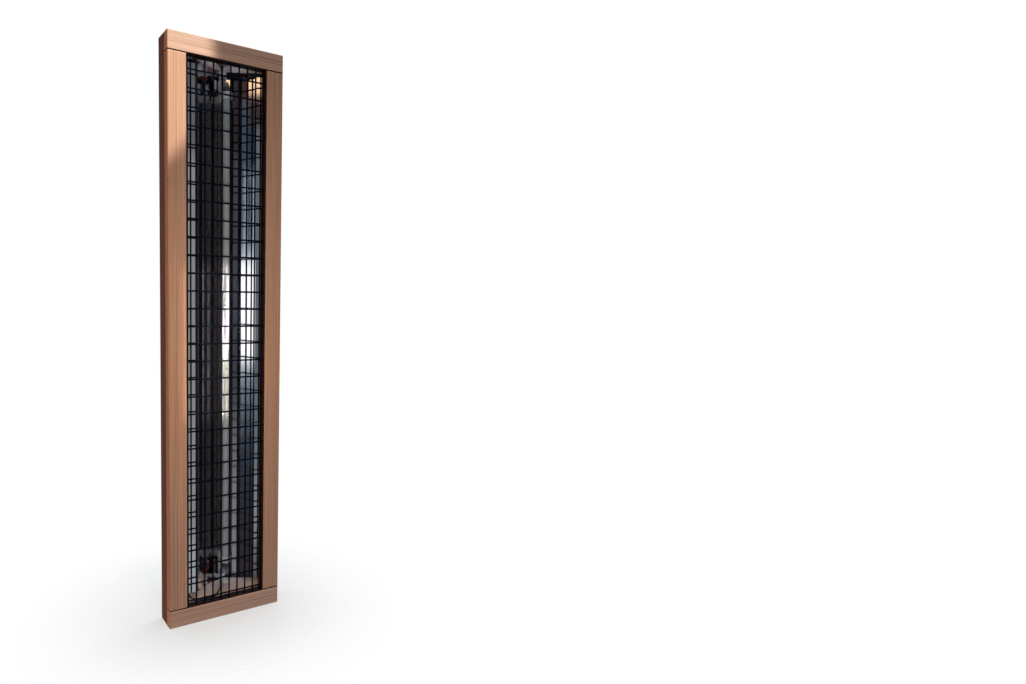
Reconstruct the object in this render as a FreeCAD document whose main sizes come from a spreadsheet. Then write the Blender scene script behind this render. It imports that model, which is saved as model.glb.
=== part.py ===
import FreeCAD, Part
import math
import os
import re

# Infrared wall panel heater: a cedar casing on the wall holds a polished trough reflector with a heating
# tube, and a cedar frame with a welded wire grille sits on the front and lifts off forwards.
# Frame: +X right as seen from the front, +Y into the wall, +Z up. The wall is the plane y = 0, and the
# origin is the centre of the four wall holes. Sizes are in millimetres.

Vector = FreeCAD.Vector
Rotation = FreeCAD.Rotation
doc = FreeCAD.newDocument("wall_heater")

# Driving dimensions, then the places that follow from them.
DIMENSIONS = [
    ("outer_width", 171.0),
    ("outer_height", 838.0),
    ("face_thickness", 15.0),
    ("face_gap", 0.3),
    ("stile_width", 26.0),
    ("rail_width", 26.0),
    ("edge_ease", 1.3),
    ("wire_diameter", 2.4),
    ("long_pitch", 12.7),
    ("cross_pitch", 25.4),
    ("first_cross_drop", 17.8),
    ("weld_sink", 0.15),
    ("grille_setback", 4.2),
    ("groove_depth", 6.0),
    ("groove_play", 0.1),
    ("dowel_diameter", 6.0),
    ("dowel_length", 28.0),
    ("dowel_play", 0.05),
    ("casing_depth", 26.7),
    ("casing_side", 17.5),
    ("casing_cap", 14.0),
    ("casing_ease", 0.9),
    ("casing_dowel_from_wall", 8.9),
    ("lip_thickness", 3.0),
    ("lip_play", 0.5),
    ("cut_overrun", 1.0),
    ("peg_diameter", 5.0),
    ("peg_seat", 12.0),
    ("peg_reach", 9.5),
    ("peg_play", 0.08),
    ("peg_relief", 0.5),
    ("peg_from_side", 18.0),
    ("wall_hole_diameter", 4.5),
    ("wall_hole_spacing", 50.0),
    ("wall_head_diameter", 8.5),
    ("wall_head_depth", 5.0),
    ("ledger_screw_from_wall", 15.8),
    ("ledger_screw_from_end", 142.5),
    ("reflector_end_gap", 19.0),
    ("reflector_rise", 6.5),
    ("reflector_shift", 7.0),
    ("flange_width", 25.0),
    ("flange_bearing", 9.5),
    ("flange_setback", 2.2),
    ("flange_play", 0.4),
    ("return_width", 10.0),
    ("return_drop", 2.6),
    ("sheet", 0.8),
    ("floor_gap", 1.5),
    ("slot_width", 9.5),
    ("slot_height", 4.0),
    ("slot_from_end", 43.0),
    ("screw_play", 0.05),
    ("flange_screw_diameter", 3.0),
    ("flange_screw_length", 14.0),
    ("flange_screw_head", 6.0),
    ("flange_screw_head_height", 1.6),
    ("flange_screw_margin", 4.5),
    ("flange_screw_from_end", 45.0),
    ("ledger_screw_diameter", 4.0),
    ("ledger_screw_length", 26.0),
    ("ledger_screw_head", 7.0),
    ("ledger_screw_head_height", 2.0),
    ("tube_diameter", 12.7),
    ("tube_bore", 8.7),
    ("tube_end_gap", 35.0),
    ("tube_standoff", 18.5),
    ("tube_play", 0.05),
    ("bush_plug", 8.0),
    ("bush_collar", 6.0),
    ("pin_diameter", 3.0),
    ("pin_reach", 8.0),
    ("nut_flats", 5.5),
    ("nut_height", 2.4),
    ("ring_diameter", 7.5),
    ("ring_thickness", 0.8),
    ("barrel_diameter", 4.4),
    ("barrel_length", 7.0),
    ("barrel_offset", 8.0),
    ("barrel_tab_width", 3.0),
    ("lead_diameter", 3.0),
    ("lead_insert", 5.5),
    ("lead_crest_gap", 6.0),
    ("lead_turn_run", 2.0),
    ("lead_turn_in", 1.0),
    ("lead_drop", 20.5),
    ("channel_standoff", 4.0),
    ("channel_from_wall", 5.0),
    ("upper_splice_rise", 222.5),
    ("lower_splice_rise", 130.5),
    ("clip_strip", 0.9),
    ("clip_width", 10.0),
    ("clip_foot_width", 10.0),
    ("clip_end_gap", 2.0),
    ("clip_shield_rise", 5.0),
    ("rivet_from_shield", 11.0),
    ("rivet_diameter", 3.2),
    ("rivet_head", 6.0),
    ("rivet_head_height", 1.1),
    ("rivet_tail_height", 0.8),
    ("splice_diameter", 5.0),
    ("splice_length", 22.0),
    ("wire_clip_strip", 0.8),
    ("wire_clip_width", 7.0),
    ("wire_clip_drop", 7.5),
    ("wire_clip_from_inner_screw", 20.0),
    ("wire_clip_from_outer_screw", 60.0),
    ("wire_clip_screw_diameter", 2.8),
    ("wire_clip_screw_length", 10.0),
    ("wire_clip_screw_head", 5.0),
    ("wire_clip_screw_head_height", 1.5),
    ("half_width", "=outer_width / 2"),
    ("half_height", "=outer_height / 2"),
    ("opening_side", "=half_width - stile_width"),
    ("opening_end", "=half_height - rail_width"),
    ("casing_front", "=-casing_depth"),
    ("face_back", "=casing_front - face_gap"),
    ("face_front", "=face_back - face_thickness"),
    ("face_middle", "=face_back - face_thickness / 2"),
    ("wire_radius", "=wire_diameter / 2"),
    ("long_plane", "=face_front + grille_setback + wire_radius"),
    ("cross_plane", "=long_plane + wire_diameter - weld_sink"),
    ("groove_front", "=long_plane - wire_radius - groove_play"),
    ("groove_back", "=cross_plane + wire_radius + groove_play"),
    ("groove_side", "=opening_side + groove_depth"),
    ("groove_end", "=opening_end + groove_depth"),
    ("stile_dowel_x", "=(groove_side + half_width) / 2"),
    ("casing_side_inner", "=half_width - casing_side"),
    ("casing_cap_inner", "=half_height - casing_cap"),
    ("cap_middle", "=half_height - casing_cap / 2"),
    ("casing_dowel_y", "=-casing_dowel_from_wall"),
    ("peg_x", "=casing_side_inner - peg_from_side"),
    ("flange_front", "=casing_front + flange_setback"),
    ("flange_back", "=flange_front + sheet"),
    ("floor_back", "=-floor_gap"),
    ("floor_front", "=floor_back - sheet"),
    ("reflector_end", "=casing_cap_inner - reflector_end_gap"),
    ("ledger_end", "=reflector_end - reflector_rise"),
    ("top_lip_end", "=reflector_end + reflector_rise + lip_play"),
    ("bottom_lip_end", "=reflector_end - reflector_rise + lip_play"),
    ("flange_side", "=casing_side_inner + flange_bearing - reflector_shift"),
    ("trough_half", "=flange_side - flange_width"),
    ("ledger_inner", "=reflector_shift - flange_side + flange_bearing"),
    ("flange_screw_side", "=flange_side - flange_screw_margin"),
    ("flange_screw_z", "=reflector_end - flange_screw_from_end"),
    ("ledger_screw_y", "=-ledger_screw_from_wall"),
    ("ledger_screw_outer", "=reflector_end - ledger_screw_from_end"),
    ("ledger_screw_inner", "=ledger_screw_outer / 3"),
    ("wire_clip_outer", "=ledger_screw_outer + wire_clip_from_outer_screw"),
    ("wire_clip_inner", "=ledger_screw_inner + wire_clip_from_inner_screw"),
    ("tube_x", "=reflector_shift"),
    ("tube_y", "=floor_front - tube_standoff"),
    ("tube_end", "=reflector_end - tube_end_gap"),
    ("core_end", "=tube_end - bush_plug"),
    ("bush_end", "=tube_end + bush_collar"),
    ("pin_end", "=bush_end + pin_reach"),
    ("ring_bottom", "=bush_end + nut_height"),
    ("ring_top", "=ring_bottom + ring_thickness"),
    ("barrel_mouth", "=ring_bottom + barrel_length"),
    ("nut_corner", "=nut_flats / sqrt(3)"),
    ("lead_x", "=tube_x - barrel_offset"),
    ("clip_inner_radius", "=tube_diameter / 2 + tube_play"),
    ("clip_outer_radius", "=clip_inner_radius + clip_strip"),
    ("clip_start", "=tube_end - clip_width"),
    ("clip_end", "=reflector_end - clip_end_gap"),
    ("rivet_z", "=clip_end - rivet_from_shield"),
    ("slot_z", "=reflector_end - slot_from_end"),
    ("channel_x", "=ledger_inner + channel_standoff"),
    ("channel_y", "=-channel_from_wall"),
    ("lead_crest", "=casing_cap_inner - lead_crest_gap"),
    ("lead_turn_x", "=channel_x + lead_turn_run"),
    ("lead_turn_y", "=channel_y - lead_turn_in"),
    ("lead_drop_z", "=reflector_end - lead_drop"),
    ("upper_lead_end", "=upper_splice_rise - reflector_end"),
    ("lower_lead_end", "=lower_splice_rise - reflector_end"),
]
sheet = doc.addObject("Spreadsheet::Sheet", "dims")
for row, (alias, content) in enumerate(DIMENSIONS, start=1):
    sheet.set(f"A{row}", alias)
    sheet.set(f"B{row}", str(content))
    sheet.setAlias(f"B{row}", alias)
doc.recompute()
ALIASES = {alias for alias, _ in DIMENSIONS}

# The stations along the height where fasteners repeat, and the folds of the reflector.
LEDGER_SCREW_STATIONS = ("-ledger_screw_outer", "-ledger_screw_inner",
                         "ledger_screw_inner", "ledger_screw_outer")
WIRE_CLIP_STATIONS = ("-wire_clip_outer", "-wire_clip_inner", "wire_clip_inner", "wire_clip_outer")
TROUGH_FACETS = 9

# Route of each lead from the ring terminal's barrel: past the reflector's end, round it and into the channel
# behind its left flange. The lower lead mirrors the upper one.
LEAD_ROUTE = [
    ("lead_x", "tube_y", "lead_crest"),
    ("lead_turn_x", "lead_turn_y", "lead_crest"),
    ("channel_x", "channel_y", "lead_drop_z"),
]
ARC_SHARE = 0.45
SAME_PLACE = 1e-4


def size(alias):
    return float(sheet.get(alias))


def formula(text):
    return re.sub(r"[a-z_]+", lambda word: f"dims.{word[0]}" if word[0] in ALIASES else word[0], str(text))


def bind_place(solid, place):
    for axis, expression in zip("xyz", place):
        solid.setExpression(f"Placement.Base.{axis}", formula(expression))


def box(name, x_span, y_span, z_span):
    solid = doc.addObject("Part::Box", name)
    for side, (low, high) in zip(("Length", "Width", "Height"), (x_span, y_span, z_span)):
        solid.setExpression(side, formula(f"({high}) - ({low})"))
    bind_place(solid, (x_span[0], y_span[0], z_span[0]))
    return solid


TURNS = {
    "+X": Rotation(Vector(0, 1, 0), 90),
    "-X": Rotation(Vector(0, 1, 0), -90),
    "+Y": Rotation(Vector(1, 0, 0), -90),
    "-Y": Rotation(Vector(1, 0, 0), 90),
    "+Z": Rotation(),
    "-Z": Rotation(Vector(1, 0, 0), 180),
}


def rod(name, along, diameter, length, place):
    solid = doc.addObject("Part::Cylinder", name)
    solid.Placement = FreeCAD.Placement(Vector(), TURNS[along])
    solid.setExpression("Radius", formula(f"({diameter}) / 2"))
    solid.setExpression("Height", formula(length))
    bind_place(solid, place)
    return solid


def group(name, members):
    compound = doc.addObject("Part::Compound", name)
    compound.Links = members
    return compound


def fuse(name, members):
    solid = doc.addObject("Part::MultiFuse", name)
    solid.Shapes = members
    return solid


def cut(name, base, tools):
    solid = doc.addObject("Part::Cut", name)
    solid.Base = base
    solid.Tool = tools[0] if len(tools) == 1 else group(f"{name}_cuts", tools)
    return solid


def ease(name, base, radius, chosen):
    doc.recompute()
    solid = doc.addObject("Part::Fillet", name)
    solid.Base = base
    edges = [number for number, edge in enumerate(base.Shape.Edges, start=1) if chosen(edge.BoundBox)]
    solid.Edges = [(number, radius, radius) for number in edges]
    return solid


def on_plane(low, high, place):
    return abs(low - place) < SAME_PLACE and abs(high - place) < SAME_PLACE


SUBPARTS = []


def subpart(solid, label):
    solid.Label = label
    SUBPARTS.append(solid)


def raised(end, level):
    return f"reflector_rise {'+' if end > 0 else '-'} ({level})"


def raised_span(end, low, high):
    return (raised(end, low), raised(end, high)) if end > 0 else (raised(end, high), raised(end, low))


def headed_screw(name, along, diameter, length, head, head_height, place):
    opposite = {"+": "-", "-": "+"}[along[0]] + along[1]
    shank = rod(f"{name}_shank", along, diameter, length, place)
    cap = rod(f"{name}_head", opposite, head, head_height, place)
    return fuse(name, [shank, cap])


# Front frame: rails run across the full width, and the stiles butt between them.

def eased_front(name, base):
    front = size("face_front")
    return ease(name, base, size("edge_ease"), lambda bound: on_plane(bound.YMin, bound.YMax, front))


def rail(label, end):
    low, high = ("opening_end", "half_height") if end > 0 else ("-half_height", "-opening_end")
    board = box(f"{label}_board", ("-half_width", "half_width"), ("face_front", "face_back"), (low, high))
    eased = eased_front(f"{label}_eased", board)
    groove_low, groove_high = ("opening_end - cut_overrun", "groove_end")
    if end < 0:
        groove_low, groove_high = f"-{groove_high}", f"-({groove_low})"
    tools = [box(f"{label}_groove", ("-groove_side", "groove_side"), ("groove_front", "groove_back"),
                 (groove_low, groove_high))]
    for side in (-1, 1):
        tools.append(rod(f"{label}_dowel_hole", "+Z" if end > 0 else "-Z", "dowel_diameter + 2 * dowel_play",
                         "dowel_length / 2 + dowel_play",
                         (f"{side} * stile_dowel_x", "face_middle", f"{end} * opening_end")))
        tools.append(rod(f"{label}_peg_hole", "-Y", "peg_diameter + 2 * peg_play", "peg_reach",
                         (f"{side} * peg_x", "face_back", f"{end} * cap_middle")))
    subpart(cut(f"{label}_cut", eased, tools), label)


def stile(label, side):
    low, high = ("opening_side", "half_width") if side > 0 else ("-half_width", "-opening_side")
    board = box(f"{label}_board", (low, high), ("face_front", "face_back"), ("-opening_end", "opening_end"))
    eased = eased_front(f"{label}_eased", board)
    groove_low, groove_high = ("opening_side - cut_overrun", "groove_side")
    if side < 0:
        groove_low, groove_high = f"-{groove_high}", f"-({groove_low})"
    tools = [box(f"{label}_groove", (groove_low, groove_high), ("groove_front", "groove_back"),
                 ("-opening_end - cut_overrun", "opening_end + cut_overrun"))]
    for end in (-1, 1):
        tools.append(rod(f"{label}_dowel_hole", "-Z" if end > 0 else "+Z", "dowel_diameter + 2 * dowel_play",
                         "dowel_length / 2 + dowel_play",
                         (f"{side} * stile_dowel_x", "face_middle", f"{end} * opening_end")))
    subpart(cut(f"{label}_cut", eased, tools), label)


def corner_dowels():
    dowels = [rod("corner_dowel", "+Z", "dowel_diameter", "dowel_length",
                  (f"{side} * stile_dowel_x", "face_middle", f"{end} * opening_end - dowel_length / 2"))
              for side in (-1, 1) for end in (-1, 1)]
    subpart(group("corner_dowel_set", dowels), "corner_dowels")


def wires_across(clear_span, pitch):
    return math.floor((clear_span - size("wire_diameter")) / pitch) + 1


def wire_grille():
    long_count = wires_across(2 * size("opening_side"), size("long_pitch"))
    cross_count = wires_across(2 * size("opening_end") - size("first_cross_drop"), size("cross_pitch"))
    first = (1 - long_count) / 2
    long_wires = [rod("long_wire", "+Z", "wire_diameter", "2 * (groove_end - groove_play)",
                      (f"{first + number} * long_pitch", "long_plane", "groove_play - groove_end"))
                  for number in range(long_count)]
    subpart(group("long_wire_set", long_wires), "grille_long_wires")
    cross_wires = [rod("cross_wire", "+X", "wire_diameter", "2 * (groove_side - groove_play)",
                       ("groove_play - groove_side", "cross_plane",
                        f"opening_end - first_cross_drop - {number} * cross_pitch"))
                   for number in range(cross_count)]
    subpart(group("cross_wire_set", cross_wires), "grille_cross_wires")


# Casing: two side boards run the full height, and the caps fit between them. A thin lip on each cap closes
# the gap behind the reflector's open end.

def flange_screw_places(side):
    return [(f"reflector_shift + {side} * flange_screw_side", "flange_front",
             raised(1, f"{row} * flange_screw_z")) for row in (-1, 0, 1)]


def flange_pilots(name, side):
    return [rod(f"{name}_pilot", "+Y", "flange_screw_diameter + 2 * screw_play",
                "flange_screw_length + screw_play", place) for place in flange_screw_places(side)]


def casing_dowel_holes(name, side, ends, along):
    return [rod(f"{name}_dowel_hole", along, "dowel_diameter + 2 * dowel_play",
                "dowel_length / 2 + dowel_play",
                (f"{side} * casing_side_inner", "casing_dowel_y", f"{end} * cap_middle")) for end in ends]


def eased_casing_front(name, base):
    front = size("casing_front")
    outer = size("half_width")

    def outer_front(bound):
        return on_plane(bound.YMin, bound.YMax, front) and on_plane(abs(bound.XMin), abs(bound.XMax), outer)

    return ease(name, base, size("casing_ease"), outer_front)


def casing_sides():
    left_board = box("casing_left_board", ("-half_width", "-casing_side_inner"), ("casing_front", "0"),
                     ("-half_height", "half_height"))
    left_tools = casing_dowel_holes("casing_left", -1, (-1, 1), "-X") + ledger_screw_holes("casing_left")
    left = cut("casing_left_cut", eased_casing_front("casing_left_eased", left_board), left_tools)
    subpart(left, "casing_left")
    right_board = box("casing_right_board", ("casing_side_inner", "half_width"), ("casing_front", "0"),
                      ("-half_height", "half_height"))
    rebate = box("casing_right_rebate",
                 ("casing_side_inner - cut_overrun", "reflector_shift + flange_side + flange_play"),
                 ("casing_front - cut_overrun", "flange_back"),
                 (raised(-1, "reflector_end + flange_play"), raised(1, "reflector_end + flange_play")))
    right_tools = casing_dowel_holes("casing_right", 1, (-1, 1), "+X")
    right_tools += flange_pilots("casing_right", 1) + [rebate]
    right = cut("casing_right_cut", eased_casing_front("casing_right_eased", right_board), right_tools)
    subpart(right, "casing_right")


def casing_cap(label, end):
    across = ("-casing_side_inner", "casing_side_inner")
    low, high = ("casing_cap_inner", "half_height") if end > 0 else ("-half_height", "-casing_cap_inner")
    lip_low, lip_high = ("top_lip_end", "half_height") if end > 0 else ("-half_height", "-bottom_lip_end")
    thick = box(f"{label}_thick", across, ("casing_front", "0"), (low, high))
    lip = box(f"{label}_lip", across, ("-lip_thickness", "0"), (lip_low, lip_high))
    board = fuse(f"{label}_board", [thick, lip])
    tools = casing_dowel_holes(label, -1, (end,), "+X") + casing_dowel_holes(label, 1, (end,), "-X")
    for side in (-1, 1):
        tools.append(rod(f"{label}_peg_hole", "+Y", "peg_diameter + 2 * dowel_play", "peg_seat",
                         (f"{side} * peg_x", "casing_front", f"{end} * cap_middle")))
        hole_place = (f"{side} * wall_hole_spacing / 2", "casing_front - cut_overrun", f"{end} * cap_middle")
        through = rod(f"{label}_wall_hole", "+Y", "wall_hole_diameter",
                      "casing_depth + 2 * cut_overrun", hole_place)
        recess = rod(f"{label}_wall_recess", "+Y", "wall_head_diameter",
                     "wall_head_depth + cut_overrun", hole_place)
        tools.append(fuse(f"{label}_wall_bore", [through, recess]))
    subpart(cut(f"{label}_cut", board, tools), label)


def casing_dowels():
    dowels = [rod("casing_dowel", "+X", "dowel_diameter", "dowel_length",
                  (f"{side} * casing_side_inner - dowel_length / 2", "casing_dowel_y",
                   f"{end} * cap_middle"))
              for side in (-1, 1) for end in (-1, 1)]
    subpart(group("casing_dowel_set", dowels), "casing_dowels")


def locating_pegs():
    pegs = [rod("locating_peg", "-Y", "peg_diameter", "peg_seat + peg_reach - peg_relief",
                (f"{side} * peg_x", "casing_front + peg_seat", f"{end} * cap_middle"))
            for side in (-1, 1) for end in (-1, 1)]
    subpart(group("locating_peg_set", pegs), "locating_pegs")


# Ledger strip: packs out the left side board, so that it carries the reflector's left flange.

def ledger_screw_holes(name):
    return [rod(f"{name}_ledger_screw_hole", "-X", "ledger_screw_diameter + 2 * screw_play",
                "ledger_screw_length + screw_play", ("ledger_inner", "ledger_screw_y", station))
            for station in LEDGER_SCREW_STATIONS]


def ledger():
    strip = box("ledger_strip", ("-casing_side_inner", "ledger_inner"), ("flange_back", "0"),
                ("-ledger_end", "ledger_end"))
    tools = flange_pilots("ledger", -1) + ledger_screw_holes("ledger")
    tools += [rod("ledger_clip_pilot", "-X", "wire_clip_screw_diameter + 2 * screw_play",
                  "wire_clip_screw_length + screw_play", place) for place in wire_clip_screw_places()]
    subpart(cut("ledger_cut", strip, tools), "ledger")
    screws = [headed_screw("ledger_screw", "-X", "ledger_screw_diameter", "ledger_screw_length",
                           "ledger_screw_head", "ledger_screw_head_height",
                           ("ledger_inner", "ledger_screw_y", station)) for station in LEDGER_SCREW_STATIONS]
    subpart(group("ledger_screw_set", screws), "ledger_screws")


# Reflector: a folded sheet whose trough is a parabola in flat facets, with a flat flange on each side. A
# shallow return strip lies between the last facet and the right flange.

def trough_points():
    half = size("trough_half")
    flat = half / TROUGH_FACETS
    depth = size("floor_front") - size("flange_front")
    points = []
    for fold in range(TROUGH_FACETS + 1):
        across = half * (2 * fold / TROUGH_FACETS - 1)
        rise = depth * (across ** 2 - flat ** 2) / (half ** 2 - flat ** 2)
        points.append(Vector(across, size("floor_front") - rise, 0))
    points[-1].y += size("return_drop")
    return points + [Vector(half + size("return_width"), size("flange_front"), 0)]


def reflector():
    side = size("flange_side")
    front = size("flange_front")
    outline = [Vector(-side, front, 0)] + trough_points() + [Vector(side, front, 0)]
    section = Part.makePolygon(outline).makeOffset2D(-size("sheet"), join=2, fill=True, openResult=True)
    folded = doc.addObject("Part::Feature", "reflector_sheet")
    folded.Shape = section.extrude(Vector(0, 0, 2 * size("reflector_end")))
    corner = Vector(size("reflector_shift"), 0, size("reflector_rise") - size("reflector_end"))
    folded.Placement = FreeCAD.Placement(corner, Rotation())
    tools = [rod("reflector_screw_hole", "+Y", "flange_screw_diameter + 4 * screw_play", "3 * sheet",
                 (place[0], "flange_front - sheet", place[2]))
             for side in (-1, 1) for place in flange_screw_places(side)]
    for end in (-1, 1):
        tools.append(rod("reflector_rivet_hole", "+Y", "rivet_diameter + 2 * screw_play", "3 * sheet",
                         ("tube_x", "floor_front - sheet", raised(end, "rivet_z"))))
        facet = f"reflector_shift - 4 * trough_half / {TROUGH_FACETS}"
        tools.append(box("reflector_slot", (f"{facet} - slot_height / 2", f"{facet} + slot_height / 2"),
                         ("flange_back", "0"),
                         raised_span(end, "slot_z - slot_width / 2", "slot_z + slot_width / 2")))
    subpart(cut("reflector_cut", folded, tools), "reflector")
    screws = [headed_screw("reflector_screw", "+Y", "flange_screw_diameter", "flange_screw_length",
                           "flange_screw_head", "flange_screw_head_height", place)
              for side in (-1, 1) for place in flange_screw_places(side)]
    subpart(group("reflector_screw_set", screws), "reflector_screws")


# Heating tube with its core, bushes and terminals.

def heating_tube():
    foot = ("tube_x", "tube_y", raised(-1, "tube_end"))
    sheath = rod("tube_sheath", "+Z", "tube_diameter", "2 * tube_end", foot)
    bore = rod("tube_bore_cut", "+Z", "tube_bore", "2 * tube_end", foot)
    subpart(cut("tube_cut", sheath, [bore]), "heating_tube")
    core = rod("tube_core", "+Z", "tube_bore - 2 * tube_play", "2 * core_end",
               ("tube_x", "tube_y", raised(-1, "core_end")))
    subpart(core, "heating_core")


def upright(name, end, diameter, low, high):
    along = "+Z" if end > 0 else "-Z"
    return rod(name, along, diameter, f"({high}) - ({low})", ("tube_x", "tube_y", raised(end, low)))


def end_fittings(where, end):
    plug = upright(f"bush_plug_{where}", end, "tube_bore - 2 * tube_play", "core_end", "tube_end")
    collar = upright(f"bush_collar_{where}", end, "tube_diameter", "tube_end", "bush_end")
    bush = fuse(f"bush_body_{where}", [plug, collar])
    bore = upright(f"bush_bore_{where}", end, "pin_diameter + 2 * tube_play", "core_end", "bush_end")
    subpart(cut(f"bush_cut_{where}", bush, [bore]), f"end_bush_{where}")
    subpart(upright(f"pin_{where}", end, "pin_diameter", "core_end", "pin_end"), f"terminal_pin_{where}")


def terminal_nuts():
    nuts = []
    for end in (-1, 1):
        for level in ("bush_end", "ring_top"):
            nut = doc.addObject("Part::Prism", "nut_blank")
            nut.Polygon = 6
            nut.Placement = FreeCAD.Placement(Vector(), TURNS["+Z" if end > 0 else "-Z"])
            nut.setExpression("Circumradius", formula("nut_corner"))
            nut.setExpression("Height", formula("nut_height"))
            bind_place(nut, ("tube_x", "tube_y", raised(end, level)))
            bore = upright("nut_bore", end, "pin_diameter + 2 * screw_play", level, f"{level} + nut_height")
            nuts.append(cut("nut", nut, [bore]))
    subpart(group("nut_set", nuts), "terminal_nuts")


def ring_terminals():
    terminals = []
    for end in (-1, 1):
        ring = upright("ring_disc", end, "ring_diameter", "ring_bottom", "ring_top")
        tab = box("ring_tab", ("lead_x", "tube_x"),
                  ("tube_y - barrel_tab_width / 2", "tube_y + barrel_tab_width / 2"),
                  raised_span(end, "ring_bottom", "ring_top"))
        along, inward = ("+Z", "-Z") if end > 0 else ("-Z", "+Z")
        barrel = rod("ring_barrel", along, "barrel_diameter", "barrel_length",
                     ("lead_x", "tube_y", raised(end, "ring_bottom")))
        hole = upright("ring_hole", end, "pin_diameter + 2 * screw_play", "ring_bottom", "ring_top")
        bore = rod("barrel_bore", inward, "lead_diameter + 2 * tube_play", "lead_insert + tube_play",
                   ("lead_x", "tube_y", raised(end, "barrel_mouth")))
        terminals.append(cut("ring_terminal", fuse("ring_blank", [ring, tab, barrel]), [hole, bore]))
    subpart(group("ring_terminal_set", terminals), "ring_terminals")


# Element clips: a strip bent round the tube's end, with a stem, a foot riveted to the trough floor and an
# upright shield beyond the terminal.

def element_clip(where, end):
    grip = raised_span(end, "clip_start", "tube_end")
    across = ("tube_x - clip_foot_width / 2", "tube_x + clip_foot_width / 2")
    ring = upright(f"clip_ring_{where}", end, "2 * clip_outer_radius", "clip_start", "tube_end")
    stem = box(f"clip_stem_{where}", ("tube_x - clip_strip", "tube_x + clip_strip"),
               ("tube_y", "floor_front"), grip)
    foot = box(f"clip_foot_{where}", across, ("floor_front - clip_strip", "floor_front"),
               raised_span(end, "clip_start", "clip_end"))
    shield = box(f"clip_shield_{where}", across, ("tube_y - clip_shield_rise", "floor_front"),
                 raised_span(end, "clip_end - clip_strip", "clip_end"))
    bore = upright(f"clip_bore_{where}", end, "2 * clip_inner_radius", "clip_start", "tube_end")
    hole = rod(f"clip_hole_{where}", "+Y", "rivet_diameter + 2 * screw_play", "3 * clip_strip",
               ("tube_x", "floor_front - 2 * clip_strip", raised(end, "rivet_z")))
    body = fuse(f"clip_body_{where}", [ring, stem, foot, shield])
    subpart(cut(f"clip_cut_{where}", body, [bore, hole]), f"element_clip_{where}")


def clip_rivets():
    rivets = []
    for end in (-1, 1):
        x, z = "tube_x", raised(end, "rivet_z")
        seat = "floor_front - clip_strip"
        shank = rod("rivet_shank", "+Y", "rivet_diameter", "clip_strip + sheet", (x, seat, z))
        head = rod("rivet_head", "-Y", "rivet_head", "rivet_head_height", (x, seat, z))
        tail = rod("rivet_tail", "+Y", "rivet_head", "rivet_tail_height", (x, "floor_back", z))
        rivets.append(fuse("rivet", [shank, head, tail]))
    subpart(group("rivet_set", rivets), "clip_rivets")


# Lead wires: straight runs joined by tangent arcs, with butt splices on their free ends.

def rounded_path(points):
    edges = []
    start = points[0]
    for before, corner, after in zip(points, points[1:], points[2:]):
        arriving = (before - corner).normalize()
        leaving = (after - corner).normalize()
        reach = ARC_SHARE * min((before - corner).Length, (after - corner).Length)
        opening = arriving.getAngle(leaving)
        radius = reach * math.tan(opening / 2)
        bisector = (arriving + leaving).normalize()
        middle = corner + bisector * (radius / math.sin(opening / 2) - radius)
        entry = corner + arriving * reach
        edges.append(Part.LineSegment(start, entry).toShape())
        edges.append(Part.Arc(entry, middle, corner + leaving * reach).toShape())
        start = corner + leaving * reach
        print(f"lead bend radius {radius:.1f} mm")
    edges.append(Part.LineSegment(start, points[-1]).toShape())
    return Part.Wire(edges)


def lead_wire(label, end, channel_end):
    inserted = end * (size("barrel_mouth") - size("lead_insert"))
    start = Vector(size("lead_x"), size("tube_y"), size("reflector_rise") + inserted)
    bend = [Vector(size(x), size(y), end * size(z)) for x, y, z in LEAD_ROUTE]
    path = rounded_path([start] + bend + [Vector(size("channel_x"), size("channel_y"), size(channel_end))])
    profile = Part.Wire(Part.makeCircle(size("lead_diameter") / 2, start, Vector(0, 0, end)))
    lead = doc.addObject("Part::Feature", f"{label}_tube")
    lead.Shape = path.makePipeShell([profile], True, False)
    section = math.pi * size("lead_diameter") ** 2 / 4
    print(f"{label} volume over section times length: {lead.Shape.Volume / (section * path.Length):.4f}")
    subpart(lead, label)


def butt_splices():
    splices = []
    for lead_end, along in (("upper_lead_end", "-Z"), ("lower_lead_end", "+Z")):
        back = 1 if along == "-Z" else -1
        place = ("channel_x", "channel_y", f"{lead_end} + {back} * splice_length / 2")
        sleeve = rod("splice_sleeve", along, "splice_diameter", "splice_length", place)
        bore = rod("splice_bore", along, "lead_diameter + 2 * tube_play", "splice_length", place)
        splices.append(cut("splice", sleeve, [bore]))
    subpart(group("splice_set", splices), "butt_splices")


# Wire clips: a loop round the lead with a tab screwed to the ledger.

def wire_clip_screw_places():
    return [("ledger_inner + wire_clip_strip", "channel_y - wire_clip_drop", station)
            for station in WIRE_CLIP_STATIONS]


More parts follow.
